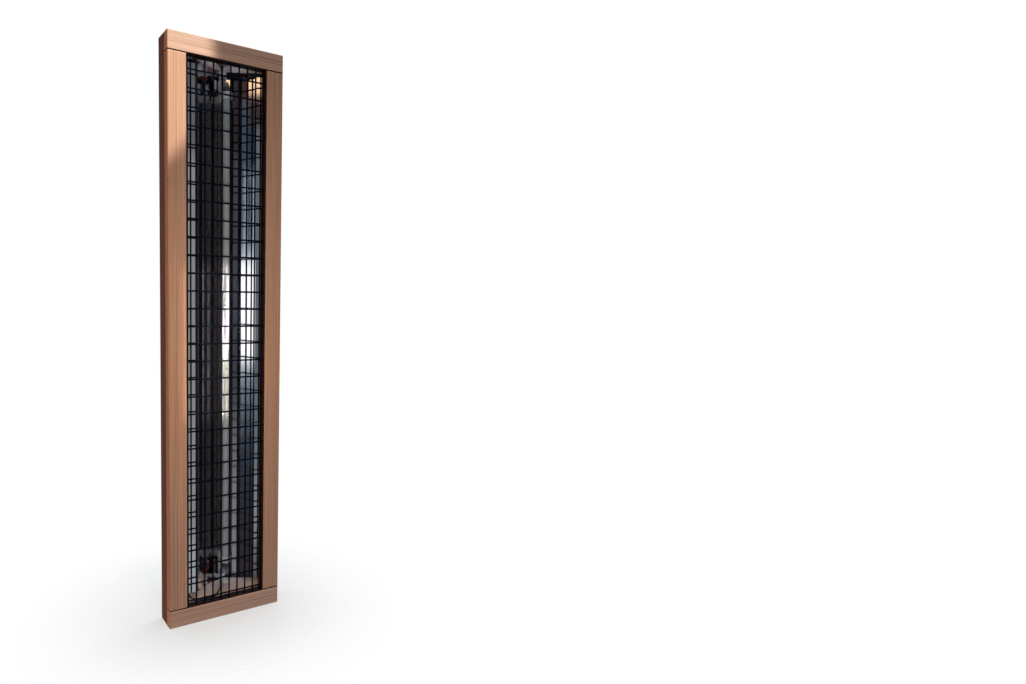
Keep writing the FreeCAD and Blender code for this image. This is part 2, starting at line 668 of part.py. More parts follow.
def wire_clips():
    clips = []
    loop_bore = "lead_diameter + 2 * tube_play"
    loop_outer = f"{loop_bore} + 2 * wire_clip_strip"
    for station in WIRE_CLIP_STATIONS:
        z_span = (f"{station} - wire_clip_width / 2", f"{station} + wire_clip_width / 2")
        place = ("channel_x", "channel_y", z_span[0])
        loop = rod("clip_loop", "+Z", loop_outer, "wire_clip_width", place)
        bore = rod("clip_loop_bore", "+Z", loop_bore, "wire_clip_width", place)
        bridge = box("clip_bridge", ("ledger_inner", "channel_x"),
                     ("channel_y - wire_clip_strip", "channel_y"), z_span)
        tab = box("clip_tab", ("ledger_inner", "ledger_inner + wire_clip_strip"),
                  ("channel_y - 2 * wire_clip_drop + wire_clip_screw_diameter", "channel_y"), z_span)
        hole = rod("clip_tab_hole", "+X", "wire_clip_screw_diameter + 2 * screw_play", "2 * wire_clip_strip",
                   ("ledger_inner - wire_clip_strip / 2", "channel_y - wire_clip_drop", station))
        clips.append(cut("wire_clip", fuse("wire_clip_blank", [loop, bridge, tab]), [bore, hole]))
    subpart(group("wire_clip_set", clips), "wire_clips")
    screws = [headed_screw("wire_clip_screw", "-X", "wire_clip_screw_diameter", "wire_clip_screw_length",
                           "wire_clip_screw_head", "wire_clip_screw_head_height", place)
              for place in wire_clip_screw_places()]
    subpart(group("wire_clip_screw_set", screws), "wire_clip_screws")


rail("top_rail", 1)
rail("bottom_rail", -1)
stile("left_stile", -1)
stile("right_stile", 1)
corner_dowels()
wire_grille()
casing_sides()
casing_cap("casing_top", 1)
casing_cap("casing_bottom", -1)
casing_dowels()
locating_pegs()
ledger()
reflector()
heating_tube()
end_fittings("top", 1)
end_fittings("bottom", -1)
terminal_nuts()
ring_terminals()
element_clip("top", 1)
element_clip("bottom", -1)
clip_rivets()
lead_wire("lead_wire_upper", 1, "upper_lead_end")
lead_wire("lead_wire_lower", -1, "lower_lead_end")
butt_splices()
wire_clips()
doc.recompute()

failed = [item.Label for item in doc.Objects if "Invalid" in item.State or "Error" in item.State]
failed += [item.Label for item in SUBPARTS if item.Shape.isNull() or not item.Shape.isValid()]
if failed:
    raise RuntimeError(f"failed objects: {failed}")
os.makedirs("parts", exist_ok=True)
for item in SUBPARTS:
    item.Shape.exportStep(f"parts/{item.Label}.step")
    print(item.Label, len(item.Shape.Solids), round(item.Shape.Volume, 1))
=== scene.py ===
import math
import bmesh
import bpy
from mathutils import Matrix, Vector


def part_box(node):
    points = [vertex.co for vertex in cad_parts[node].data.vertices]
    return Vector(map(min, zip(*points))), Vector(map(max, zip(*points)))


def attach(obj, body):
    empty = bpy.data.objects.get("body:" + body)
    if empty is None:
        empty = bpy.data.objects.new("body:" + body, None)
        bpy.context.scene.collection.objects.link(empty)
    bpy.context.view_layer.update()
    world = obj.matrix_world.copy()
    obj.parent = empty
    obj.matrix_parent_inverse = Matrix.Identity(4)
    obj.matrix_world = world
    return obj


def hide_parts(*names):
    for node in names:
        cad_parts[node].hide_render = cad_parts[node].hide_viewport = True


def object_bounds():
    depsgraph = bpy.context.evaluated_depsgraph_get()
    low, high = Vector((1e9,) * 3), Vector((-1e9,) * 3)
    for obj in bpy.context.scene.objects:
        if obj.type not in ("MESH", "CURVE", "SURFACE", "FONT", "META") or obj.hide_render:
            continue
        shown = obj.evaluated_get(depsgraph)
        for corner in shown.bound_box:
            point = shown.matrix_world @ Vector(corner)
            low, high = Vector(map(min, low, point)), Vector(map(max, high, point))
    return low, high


# An infrared wall panel heater: cedar casing and lift-off cedar frame with a welded wire grille, in front of
# a polished trough reflector and a heating tube. All lengths are in metres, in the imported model's frame.
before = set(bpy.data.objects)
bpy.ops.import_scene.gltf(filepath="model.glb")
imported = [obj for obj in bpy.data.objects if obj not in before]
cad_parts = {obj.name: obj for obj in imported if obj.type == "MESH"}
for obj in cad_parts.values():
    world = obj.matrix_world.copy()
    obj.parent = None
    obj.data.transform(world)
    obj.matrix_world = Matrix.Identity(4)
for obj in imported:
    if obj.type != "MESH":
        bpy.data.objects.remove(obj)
cad_low, cad_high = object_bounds()

MM = 0.001
FULL_TURN = 2.0 * math.pi
FULL_CIRCLE = 360.0
WHITE = (1.0, 1.0, 1.0)

# The photograph's camera, worked out from the pitch of the grille. Its image point is in pixels, its turns in degrees.
PHOTO_WIDTH, PHOTO_HEIGHT = 1026, 684
FOCAL_PIXELS = 643.4
AXIS_PIXEL_X, AXIS_PIXEL_Y = 355.6, 351.65
CAMERA_PLACE = (-0.3412, -0.9361, 0.0702)
CAMERA_YAW, CAMERA_PITCH, CAMERA_ROLL = 32.229, -5.074, 1.194
SENSOR_WIDTH = 36.0
CLIP_START = 0.01

# Sizes of the frame and of the grille, as the solids have them.
HALF_WIDTH, HALF_HEIGHT = 85.5 * MM, 419.0 * MM
WIRE_RADIUS = 1.2 * MM
LONG_PITCH = 12.7 * MM
CROSS_PITCH = 25.4 * MM


# Shader building blocks

def new_material(name):
    material = bpy.data.materials.new(name)
    material.use_nodes = True
    tree = material.node_tree
    return material, tree, tree.nodes["Principled BSDF"]


def plug(tree, socket, value):
    """Links another node's output to a socket, or sets the socket to a plain value."""
    if isinstance(value, bpy.types.NodeSocket):
        tree.links.new(value, socket)
    else:
        socket.default_value = value


def add(tree, kind, inputs=None, **settings):
    node = tree.nodes.new(kind)
    for key, value in settings.items():
        setattr(node, key, value)
    for key, value in (inputs or {}).items():
        plug(tree, node.inputs[key], value)
    return node


def feed(tree, shader, **inputs):
    for key, value in inputs.items():
        plug(tree, shader.inputs[key.replace("_", " ")], value)


def calc(tree, operation, *values):
    return add(tree, "ShaderNodeMath", dict(enumerate(values)), operation=operation).outputs[0]


def split(tree, vector):
    return add(tree, "ShaderNodeSeparateXYZ", {0: vector}).outputs


def joined(tree, *parts):
    return add(tree, "ShaderNodeCombineXYZ", dict(enumerate(parts))).outputs[0]


def scaled(tree, point, factors):
    return add(tree, "ShaderNodeVectorMath", {0: point, 1: factors}, operation="MULTIPLY").outputs[0]


def length_of(tree, vector):
    return add(tree, "ShaderNodeVectorMath", {0: vector}, operation="LENGTH").outputs["Value"]


def noise(tree, point, scale, detail=2.0, roughness=0.5):
    """Layered noise, with one scale for all directions or one for each axis."""
    if isinstance(scale, tuple):
        point, scale = scaled(tree, point, scale), 1.0
    values = {"Vector": point, "Scale": scale, "Detail": detail, "Roughness": roughness}
    return add(tree, "ShaderNodeTexNoise", values).outputs["Fac"]


def ramp(tree, factor, stops, interpolation="LINEAR"):
    """Tones or colours by place along a ramp."""
    node = add(tree, "ShaderNodeValToRGB", {"Fac": factor})
    node.color_ramp.interpolation = interpolation
    elements = node.color_ramp.elements
    while len(elements) < len(stops):
        elements.new(0.5)
    for element, (place, tone) in zip(elements, stops):
        element.position = place
        element.color = (*tone, 1.0) if isinstance(tone, tuple) else (tone, tone, tone, 1.0)
    return node.outputs["Color"]


def spread(tree, value, low=0.0, high=1.0, start=0.0, end=1.0, kind="LINEAR"):
    """Takes a value on its way from start to end to one on its way from low to high, and no further."""
    values = {"Value": value, "From Min": start, "From Max": end, "To Min": low, "To Max": high}
    return add(tree, "ShaderNodeMapRange", values, interpolation_type=kind).outputs["Result"]


# Sockets of a mix node, where it mixes colours.
MIX_FACTOR, MIX_FIRST, MIX_SECOND, MIX_RESULT = 0, 6, 7, 2


def blend(tree, factor, first, second, kind="MIX"):
    node = add(tree, "ShaderNodeMix", data_type="RGBA", blend_type=kind)
    for place, value in ((MIX_FACTOR, factor), (MIX_FIRST, first), (MIX_SECOND, second)):
        plug(tree, node.inputs[place], (*value, 1.0) if isinstance(value, tuple) else value)
    return node.outputs[MIX_RESULT]


def bump(tree, height, strength, distance):
    values = {"Height": height, "Strength": strength, "Distance": distance}
    return add(tree, "ShaderNodeBump", values).outputs["Normal"]


def edge_pair(tree, value, low, high, blur):
    """One between two limits and nothing outside them, with soft limits."""
    middle, reach = (low + high) / 2, (high - low) / 2
    away = calc(tree, "ABSOLUTE", calc(tree, "SUBTRACT", value, middle))
    return spread(tree, away, low=1.0, high=0.0, start=reach - blur, end=reach + blur, kind="SMOOTHSTEP")


def object_point(tree):
    return add(tree, "ShaderNodeTexCoord").outputs["Object"]


# Materials

# Axes across, through and along a board, by the axis that its grain runs along.
GRAIN_ORDER = {"X": ("Z", "Y", "X"), "Z": ("X", "Y", "Z")}
# Growth rings: how they drift, how uneven their widths are, their tone from spring to autumn and from year to year.
DRIFT_SCALE, DRIFT_REACH = (30.0, 30.0, 2.2), 9.0 * MM
UNEVEN_SCALE, UNEVEN_RINGS = 0.35, 3.0
SEASON_TONES = [(0.0, 0.0), (0.55, 0.22), (0.86, 1.0), (1.0, 0.05)]
YEAR_LOW, YEAR_HIGH = 0.25, 1.0
# Fibres, streaks, mottling and pores: how close they lie across and along the grain, their tones and their strength.
FIBRE_SCALE, FIBRE_TONES, FIBRE_SHARE = (2600.0, 2600.0, 42.0), [(0.28, 0.42), (0.52, 0.5), (0.75, 0.58)], 0.55
STREAK_SCALE, STREAK_TONES, STREAK_SHARE = (600.0, 600.0, 6.0), [(0.3, 0.34), (0.7, 0.66)], 0.5
MOTTLE_SCALE, MOTTLE_SHARE = (24.0, 24.0, 5.0), 0.4
MOTTLE_TONES = [(0.3, (0.56, 0.47, 0.43)), (0.7, (0.46, 0.51, 0.52))]
PORE_SCALE, PORE_TONES, PORE_SHARE = (5200.0, 5200.0, 150.0), [(0.66, 0.0), (0.76, 1.0)], 0.35
# The gloss of fronts and of left-facing edges, and how far the rings stand out from the fibres.
FRONT_GLOSS, FLANK_GLOSS = 0.32, 0.06
RING_RELIEF = 0.6
# Parts of a face's normal between which it comes to count as turned that way.
TURNED_FROM, TURNED_FULL = -0.5, -0.9
# Painted shade: the boards' left-facing faces, the side away from the light, are tinted redder on the front boards and
# dark on the casing.
FACE_SIDE_SHADE, CASING_SIDE_SHADE = (1.3, 0.88, 0.67), (0.38, 0.155, 0.095)
# Painted shade: the inner edges of the front boards and the grooves in them are darkened inside this box, where shade
# falls in the opening.
REVEAL_HALF_WIDTH, REVEAL_HALF_HEIGHT = 66.5 * MM, 400.0 * MM
REVEAL_FRONT, REVEAL_BACK, REVEAL_BLUR = -41.6 * MM, -26.4 * MM, 0.4 * MM
REVEAL_SHADE = (0.13, 0.11, 0.13)
# Depths between which the recessed face of the casing's ends lies, and how far it is greyed.
RECESS_FACE, RECESS_BLUR, GREYED_SHARE = (-3.6 * MM, -2.4 * MM), 0.2 * MM, 0.8
# Tone across the joint of rail and stile, by the share of the way up through it: a lit arris, then the shaded groove.
JOINT_HEIGHT, JOINT_REACH = 393.0 * MM, 4.0 * MM
JOINT_TONES = [
    (0.0, 1.0), (0.24, 1.0), (0.30, 1.32), (0.40, 1.32), (0.45, 0.10), (0.64, 0.10), (0.71, 1.0), (1.0, 1.0),
]
# Woods: early and late wood, painted shade tint of the left-facing faces and height of the joints.
STILE_WOOD = ((0.50, 0.262, 0.152), (0.315, 0.136, 0.073), FACE_SIDE_SHADE, JOINT_HEIGHT)
RAIL_WOOD = ((0.525, 0.312, 0.202), (0.331, 0.162, 0.097), FACE_SIDE_SHADE, JOINT_HEIGHT)
CASING_WOOD = ((0.56, 0.36, 0.265), (0.42, 0.245, 0.17), CASING_SIDE_SHADE, None)
DOWEL_WOOD = ((0.62, 0.47, 0.30), (0.50, 0.35, 0.20), WHITE, None)


def growth_band(tree, board, across, depth, pith, ring_pitch):
    """Late wood of the growth rings about a far pith, stronger in some years than in others."""
    drift = noise(tree, board, DRIFT_SCALE)
    wander = calc(tree, "MULTIPLY", calc(tree, "SUBTRACT", drift, 0.5), DRIFT_REACH)
    from_pith_x = calc(tree, "ADD", calc(tree, "SUBTRACT", across, pith[0]), wander)
    from_pith_y = calc(tree, "SUBTRACT", depth, pith[1])
    rings = calc(tree, "DIVIDE", length_of(tree, joined(tree, from_pith_x, from_pith_y)), ring_pitch)
    uneven = noise(tree, joined(tree, rings), UNEVEN_SCALE, detail=3.0)
    rings = calc(tree, "ADD", rings, calc(tree, "MULTIPLY", uneven, UNEVEN_RINGS))
    ring_number = joined(tree, calc(tree, "FLOOR", rings))
    year = add(tree, "ShaderNodeTexWhiteNoise", {"Vector": ring_number}).outputs["Value"]
    band = ramp(tree, calc(tree, "FRACT", rings), SEASON_TONES, "EASE")
    return calc(tree, "MULTIPLY", band, spread(tree, year, YEAR_LOW, YEAR_HIGH))


def joint_tone(tree, height, joint):
    """Tone of the groove and arris where rail and stile meet, above and below the middle."""
    side = calc(tree, "MULTIPLY", calc(tree, "SIGN", height), joint)
    share = spread(tree, calc(tree, "SUBTRACT", height, side), start=-JOINT_REACH, end=JOINT_REACH)
    return ramp(tree, share, JOINT_TONES)


def sawn_wood(name, along, pith, ring_pitch, kind, greyed=None):
    """Straight-grained wood: growth rings, fine fibres along the board, pores and slow colour drift, with painted
    shade on left-facing faces and on the opening's inner edges.
    """
    early, late, side_shade_tint, joint = kind
    material, tree, shader = new_material(name)
    axes = split(tree, object_point(tree))
    across, depth, length = (axes[axis] for axis in GRAIN_ORDER[along])
    board = joined(tree, across, depth, length)
    band = growth_band(tree, board, across, depth, pith, ring_pitch)
    wood = blend(tree, band, early, late)
    fibre = noise(tree, board, FIBRE_SCALE, detail=3.0, roughness=0.62)
    streak = noise(tree, board, STREAK_SCALE)
    mottle = noise(tree, board, MOTTLE_SCALE)
    wood = blend(tree, FIBRE_SHARE, wood, ramp(tree, fibre, FIBRE_TONES), "OVERLAY")
    wood = blend(tree, STREAK_SHARE, wood, ramp(tree, streak, STREAK_TONES), "OVERLAY")
    wood = blend(tree, MOTTLE_SHARE, wood, ramp(tree, mottle, MOTTLE_TONES), "OVERLAY")
    pores = ramp(tree, noise(tree, board, PORE_SCALE, detail=1.0), PORE_TONES)
    wood = blend(tree, calc(tree, "MULTIPLY", pores, PORE_SHARE), wood, late)
    if joint:
        wood = blend(tree, 1.0, wood, joint_tone(tree, axes["Z"], joint), "MULTIPLY")
    # Painted shade: faces turned to the left take the shade tint of the side away from the light.
    facing = split(tree, add(tree, "ShaderNodeNewGeometry").outputs["Normal"])
    flank = spread(tree, facing["X"], start=TURNED_FROM, end=TURNED_FULL, kind="SMOOTHSTEP")
    wood = blend(tree, flank, wood, side_shade_tint, "MULTIPLY")
    # Painted shade on the inner edges of the front boards and the grooves in them.
    inside = edge_pair(tree, axes["X"], -REVEAL_HALF_WIDTH, REVEAL_HALF_WIDTH, REVEAL_BLUR)
    inside = calc(tree, "MULTIPLY", inside, edge_pair(tree, axes["Y"], REVEAL_FRONT, REVEAL_BACK, REVEAL_BLUR))
    level = edge_pair(tree, axes["Z"], -REVEAL_HALF_HEIGHT, REVEAL_HALF_HEIGHT, REVEAL_BLUR)
    wood = blend(tree, calc(tree, "MULTIPLY", inside, level), wood, REVEAL_SHADE, "MULTIPLY")
    if greyed:
        inward = calc(tree, "MULTIPLY", calc(tree, "SIGN", axes["Z"]), facing["Z"])
        greyed_faces = spread(tree, inward, start=TURNED_FROM, end=TURNED_FULL)
        greyed_faces = calc(tree, "MAXIMUM", greyed_faces, edge_pair(tree, axes["Y"], *RECESS_FACE, RECESS_BLUR))
        wood = blend(tree, calc(tree, "MULTIPLY", greyed_faces, GREYED_SHARE), wood, greyed)
    relief = calc(tree, "SUBTRACT", calc(tree, "ADD", fibre, calc(tree, "MULTIPLY", band, RING_RELIEF)), pores)
    feed(tree, shader, Base_Color=wood, Roughness=spread(tree, fibre, low=0.48, high=0.68),
         Normal=bump(tree, relief, strength=0.35, distance=0.12 * MM),
         Specular_IOR_Level=spread(tree, flank, FRONT_GLOSS, FLANK_GLOSS))
    return material


def powder_coat(name, colour, rubbed=2.2):
    """Black powder coat: fine orange peel, a tone that is lighter where it is rubbed, and a soft gloss."""
    material, tree, shader = new_material(name)
    point = object_point(tree)
    peel = noise(tree, point, 1500.0)
    rub = noise(tree, point, 55.0, detail=3.0)
    worn = ramp(tree, rub, [(0.42, 0.0), (0.7, 1.0)])
    tone = blend(tree, worn, colour, tuple(rubbed * part for part in colour))
    feed(tree, shader, Base_Color=tone, Roughness=spread(tree, rub, low=0.34, high=0.5),
         Normal=bump(tree, peel, strength=0.25, distance=0.05 * MM), Specular_IOR_Level=0.07)
    return material


# The sheet's own tone, its tone where it is hazed and dusty, and the painted shade tone of its left fold.
SHEET_TONE, HAZE_TONE = (0.90, 0.905, 0.915), (0.78, 0.78, 0.785)
DUST_TONE, DUST_SHARE, FOLD_SHADE_TONE = (0.62, 0.60, 0.57), 0.25, (0.10, 0.10, 0.13)
# Painted shade: the left fold of the sheet is darkened between these two places across it.
FOLD_SHADE_SPAN, FOLD_BLUR = (-41.6 * MM, -37.6 * MM), 0.3 * MM
# The sheet is brighter at its upper end, and duller to the right and low down, between these places.
BRIGHT_HEIGHT, BRIGHT_GLOSS = (260.0 * MM, 310.0 * MM), 0.028
DULL_ACROSS, DULL_HEIGHT, DULL_ROUGHNESS = (0.0, 20.0 * MM), (-30.0 * MM, -130.0 * MM), 0.06
# How far the sheet's slow waves stand out from its rolling marks, and what those marks add to its roughness.
WAVE_RELIEF, ROLLING_ROUGHNESS = 60.0, 0.02


def polished_sheet(name):
    """Bright rolled aluminium: mirror gloss with a rolling direction, slow waves, smudges, dust and painted shade
    along the left fold.
    """
    material, tree, shader = new_material(name)
    point = object_point(tree)
    axes = split(tree, point)
    wave = noise(tree, point, (16.0, 16.0, 7.0))
    rolling = noise(tree, point, (2400.0, 2400.0, 9.0))
    smudge = noise(tree, point, (40.0, 40.0, 14.0), detail=5.0, roughness=0.65)
    haze = ramp(tree, smudge, [(0.46, 0.0), (0.72, 1.0)])
    dust = ramp(tree, noise(tree, point, 900.0, detail=1.0), [(0.72, 0.0), (0.78, 1.0)])
    metal = blend(tree, haze, SHEET_TONE, HAZE_TONE)
    metal = blend(tree, calc(tree, "MULTIPLY", dust, DUST_SHARE), metal, DUST_TONE)
    # Painted shade along the left fold of the sheet.
    metal = blend(tree, edge_pair(tree, axes["X"], *FOLD_SHADE_SPAN, FOLD_BLUR), metal, FOLD_SHADE_TONE)
    right = spread(tree, axes["X"], start=DULL_ACROSS[0], end=DULL_ACROSS[1])
    low_down = spread(tree, axes["Z"], start=DULL_HEIGHT[0], end=DULL_HEIGHT[1])
    dull = calc(tree, "MULTIPLY", calc(tree, "MULTIPLY", right, low_down), DULL_ROUGHNESS)
    bright = spread(tree, axes["Z"], high=BRIGHT_GLOSS, start=BRIGHT_HEIGHT[0], end=BRIGHT_HEIGHT[1])
    gloss = spread(tree, haze, low=0.045, high=0.072)
    gloss = calc(tree, "ADD", gloss, calc(tree, "MULTIPLY", rolling, ROLLING_ROUGHNESS))
    gloss = calc(tree, "SUBTRACT", calc(tree, "ADD", gloss, dull), bright)
    relief = calc(tree, "ADD", calc(tree, "MULTIPLY", wave, WAVE_RELIEF), rolling)
    around = add(tree, "ShaderNodeTangent", direction_type="RADIAL", axis="Z").outputs["Tangent"]
    feed(tree, shader, Base_Color=metal, Metallic=1.0, Roughness=gloss,
         Normal=bump(tree, relief, strength=0.05, distance=0.05 * MM),
         Anisotropic=0.9, Anisotropic_Rotation=0.25, Tangent=around)
    return material


# Glaze of the heating tube: pale and grey patches, specks, and how the specks are stretched, spaced and sized.
GLAZE_PALE, GLAZE_GREY, GLAZE_SPECK = (0.38, 0.38, 0.385), (0.29, 0.29, 0.295), (0.05, 0.048, 0.05)
SPECK_STRETCH, SPECK_SCALE, SPECK_SIZE = (1.0, 1.0, 0.7), 150.0, (-0.14, 0.2)


def glazed_tube(name):
    """Pale glazed heater sheath: satin gloss, fine pitting and scattered dark specks."""
    material, tree, shader = new_material(name)
    point = object_point(tree)
    cells = {"Vector": scaled(tree, point, SPECK_STRETCH), "Scale": SPECK_SCALE}
    specks = add(tree, "ShaderNodeTexVoronoi", cells).outputs
    chance = add(tree, "ShaderNodeTexWhiteNoise", {"Vector": specks["Position"]}).outputs["Value"]
    inside = calc(tree, "SUBTRACT", spread(tree, chance, *SPECK_SIZE), specks["Distance"])
    speck_mask = ramp(tree, inside, [(0.0, 0.0), (0.05, 1.0)])
    cloud = noise(tree, point, (60.0, 60.0, 22.0), detail=4.0, roughness=0.6)
    body = blend(tree, ramp(tree, cloud, [(0.35, 0.0), (0.7, 1.0)]), GLAZE_PALE, GLAZE_GREY)
    body = blend(tree, speck_mask, body, GLAZE_SPECK)
    grit = noise(tree, point, 2200.0)
    feed(tree, shader, Base_Color=body, Roughness=spread(tree, cloud, low=0.34, high=0.46),
         Normal=bump(tree, grit, strength=0.12, distance=0.05 * MM))
    return material


# Scratches on metal: their scale along the part as a share of that across it, and what they add to its roughness.
SCRATCH_STRETCH, SCRATCH_ROUGHNESS = 0.12, 0.06


def bare_metal(name, bright, dull, roughness, scratch_scale, metallic=1.0):
    """Plated or drawn metal: fine directional scratches, dull patches and darker hollows."""
    material, tree, shader = new_material(name)
    point = object_point(tree)
    scratch = noise(tree, point, (scratch_scale, scratch_scale, SCRATCH_STRETCH * scratch_scale), detail=3.0)
    stain = noise(tree, point, 130.0, detail=4.0, roughness=0.6)
    tone = blend(tree, ramp(tree, stain, [(0.38, 0.0), (0.68, 1.0)]), bright, dull)
    gloss = spread(tree, stain, low=roughness - 0.06, high=roughness + 0.1)
    gloss = calc(tree, "ADD", gloss, calc(tree, "MULTIPLY", scratch, SCRATCH_ROUGHNESS))
    feed(tree, shader, Base_Color=tone, Metallic=metallic, Roughness=gloss,
         Normal=bump(tree, scratch, strength=0.18, distance=0.03 * MM))
    return material


def fired_ceramic(name, light, dark, pit_share=0.5):
    """Matt ceramic or pressed powder: grainy body with faint pits."""
    material, tree, shader = new_material(name)
    point = object_point(tree)
    grain = noise(tree, point, 1800.0, detail=3.0, roughness=0.6)
    cloud = noise(tree, point, 160.0, detail=3.0)
    pits = ramp(tree, noise(tree, point, 700.0, detail=1.0), [(0.7, 0.0), (0.78, 1.0)])
    tone = blend(tree, cloud, light, dark)
    tone = blend(tree, calc(tree, "MULTIPLY", pits, pit_share), tone, dark)
    relief = calc(tree, "SUBTRACT", grain, pits)
    feed(tree, shader, Base_Color=tone, Roughness=spread(tree, grain, low=0.55, high=0.8),
         Normal=bump(tree, relief, strength=0.3, distance=0.06 * MM))
    return material


# Braid of the leads: pitch of the strands, and how far soil darkens them.
STRAND_PITCH, SOIL_SHARE = 1.1 * MM, 0.35


def braided_sleeve(name, light, dark):
    """Glass-braid sleeve over the lead: two crossing sets of diagonal strands."""
    material, tree, shader = new_material(name)
    point = object_point(tree)
    axes = split(tree, point)
    round_sum = calc(tree, "ADD", axes["X"], axes["Y"])
    strands = []
    for hand in (1.0, -1.0):
        slant = calc(tree, "ADD", axes["Z"], calc(tree, "MULTIPLY", round_sum, hand))
        strands.append(calc(tree, "SINE", calc(tree, "MULTIPLY", slant, FULL_TURN / STRAND_PITCH)))
    weave = spread(tree, calc(tree, "MAXIMUM", *strands))
    soil = noise(tree, point, 90.0, detail=3.0)
    tone = blend(tree, weave, dark, light)
    tone = blend(tree, calc(tree, "MULTIPLY", soil, SOIL_SHARE), tone, dark)
    feed(tree, shader, Base_Color=tone, Roughness=spread(tree, soil, low=0.62, high=0.85),
         Normal=bump(tree, weave, strength=0.6, distance=0.15 * MM))
    return material


def moulded_sleeve(name, colour, paler=1.7):
    """Brown nylon splice sleeve: a waxy body with faint flow marks."""
    material, tree, shader = new_material(name)
    flow = noise(tree, object_point(tree), (500.0, 500.0, 60.0), detail=3.0)
    tone = blend(tree, flow, colour, tuple(paler * part for part in colour))
    feed(tree, shader, Base_Color=tone, Roughness=spread(tree, flow, low=0.3, high=0.46),
         Normal=bump(tree, flow, strength=0.12, distance=0.05 * MM))
    return material


# Boards by node: axis that the grain runs along, place of the pith across and through the board, and wood.
PITH_FAR = 0.24
BOARDS = {
    "top_rail": ("X", (HALF_HEIGHT + PITH_FAR, 0.02), RAIL_WOOD),
    "bottom_rail": ("X", (-HALF_HEIGHT - 1.3 * PITH_FAR, 0.05), RAIL_WOOD),
    "left_stile": ("Z", (-HALF_WIDTH - PITH_FAR, 0.03), STILE_WOOD),
    "right_stile": ("Z", (HALF_WIDTH + 1.2 * PITH_FAR, -0.01), STILE_WOOD),
    "casing_left": ("Z", (-0.05, 0.16), CASING_WOOD),
    "casing_right": ("Z", (0.06, 0.19), CASING_WOOD),
    "casing_top": ("X", (0.52, 0.10), CASING_WOOD),
    "casing_bottom": ("X", (-0.54, 0.12), CASING_WOOD),
    "ledger": ("Z", (-0.20, 0.10), CASING_WOOD),
}
# Width of a year's ring in the cedar and in the dowels, and the dowels' pith.
CEDAR_RINGS, DOWEL_RINGS, DOWEL_PITH = 3.0 * MM, 1.6 * MM, (0.0, 0.3)
# The casing's ends are greyed on their inward faces and on their recessed face.
CASING_GREYED = {"casing_top": (0.85, 0.80, 0.80), "casing_bottom": (0.80, 0.66, 0.62)}


def dress(piece, material):
    piece.data.materials.clear()
    piece.data.materials.append(material)


def finish_solids():
    """Gives every solid its material, and returns the materials that the detail meshes share."""
    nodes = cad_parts
    for node, (along, pith, wood) in BOARDS.items():
        dress(nodes[node], sawn_wood(f"{node}_cedar", along, pith, CEDAR_RINGS, wood, CASING_GREYED.get(node)))
    birch = sawn_wood("birch_dowel_wood", "Z", DOWEL_PITH, DOWEL_RINGS, DOWEL_WOOD)
    coat = powder_coat("grille_coat", (0.0026, 0.0037, 0.008))
    spring = bare_metal("spring_steel", bright=(0.86, 0.86, 0.87), dull=(0.66, 0.66, 0.68),
                        roughness=0.26, scratch_scale=900.0, metallic=0.4)
    zinc = bare_metal("zinc_screw", bright=(0.62, 0.61, 0.57), dull=(0.46, 0.45, 0.42),
                      roughness=0.3, scratch_scale=1600.0)
    tinned = bare_metal("tinned_brass", bright=(0.82, 0.81, 0.79), dull=(0.62, 0.60, 0.57),
                        roughness=0.28, scratch_scale=1400.0)
    bush = fired_ceramic("bush_ceramic", light=(0.075, 0.066, 0.06), dark=(0.04, 0.035, 0.033))
    core = fired_ceramic("core_magnesia", light=(0.72, 0.71, 0.68), dark=(0.60, 0.58, 0.55))
    fibre = fired_ceramic("slot_fibre", light=(0.02, 0.018, 0.017), dark=(0.01, 0.009, 0.009))
    braid = braided_sleeve("lead_braid", light=(0.17, 0.12, 0.095), dark=(0.07, 0.05, 0.04))
    others = {
        "corner_dowels": birch, "casing_dowels": birch, "locating_pegs": birch,
        "grille_long_wires": coat, "grille_cross_wires": coat,
        "reflector": polished_sheet("reflector_sheet"), "heating_tube": glazed_tube("tube_glaze"),
        "heating_core": core, "end_bush_top": bush, "end_bush_bottom": bush,
        "terminal_pin_top": zinc, "terminal_pin_bottom": zinc, "terminal_nuts": tinned, "ring_terminals": tinned,
        "element_clip_top": spring, "element_clip_bottom": spring, "clip_rivets": zinc,
        "wire_clips": spring, "lead_wire_upper": braid, "lead_wire_lower": braid,
    }
    for node, material in others.items():
        dress(nodes[node], material)
    return {"coat": coat, "zinc": zinc, "fibre": fibre,
            "splice": moulded_sleeve("splice_nylon", (0.085, 0.032, 0.016))}


# Radius of the softened edges, by solid, the angle in degrees above which an edge is softened and its facets.
SOFT_EDGES = {
    "casing_left": 0.6 * MM, "casing_right": 0.6 * MM, "casing_top": 0.6 * MM, "casing_bottom": 0.6 * MM,
    "ledger": 0.5 * MM, "element_clip_top": 0.2 * MM, "element_clip_bottom": 0.2 * MM, "wire_clips": 0.15 * MM,
    "terminal_nuts": 0.2 * MM, "ring_terminals": 0.12 * MM, "clip_rivets": 0.3 * MM, "locating_pegs": 0.5 * MM,
}
SOFT_ANGLE, SOFT_STEPS = 35.0, 2
# Corners that are closer than this are one corner.
SAME_PLACE = 1e-6


def soften_edges():
    for node, radius in SOFT_EDGES.items():
        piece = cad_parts[node]
        piece.modifiers.new("weld", "WELD").merge_threshold = SAME_PLACE
        bevel = piece.modifiers.new("soft_edges", "BEVEL")
        bevel.width = radius
        bevel.segments = SOFT_STEPS
        bevel.limit_method = "ANGLE"
        bevel.angle_limit = math.radians(SOFT_ANGLE)
        bevel.harden_normals = True


# Detail meshes

def new_piece(name, work, material, body):
    mesh = bpy.data.meshes.new(name)
    work.to_mesh(mesh)
    work.free()
    mesh.materials.append(material)
    for face in mesh.polygons:
        face.use_smooth = True
    piece = bpy.data.objects.new(name, mesh)
    bpy.context.scene.collection.objects.link(piece)
    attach(piece, body)
    return piece


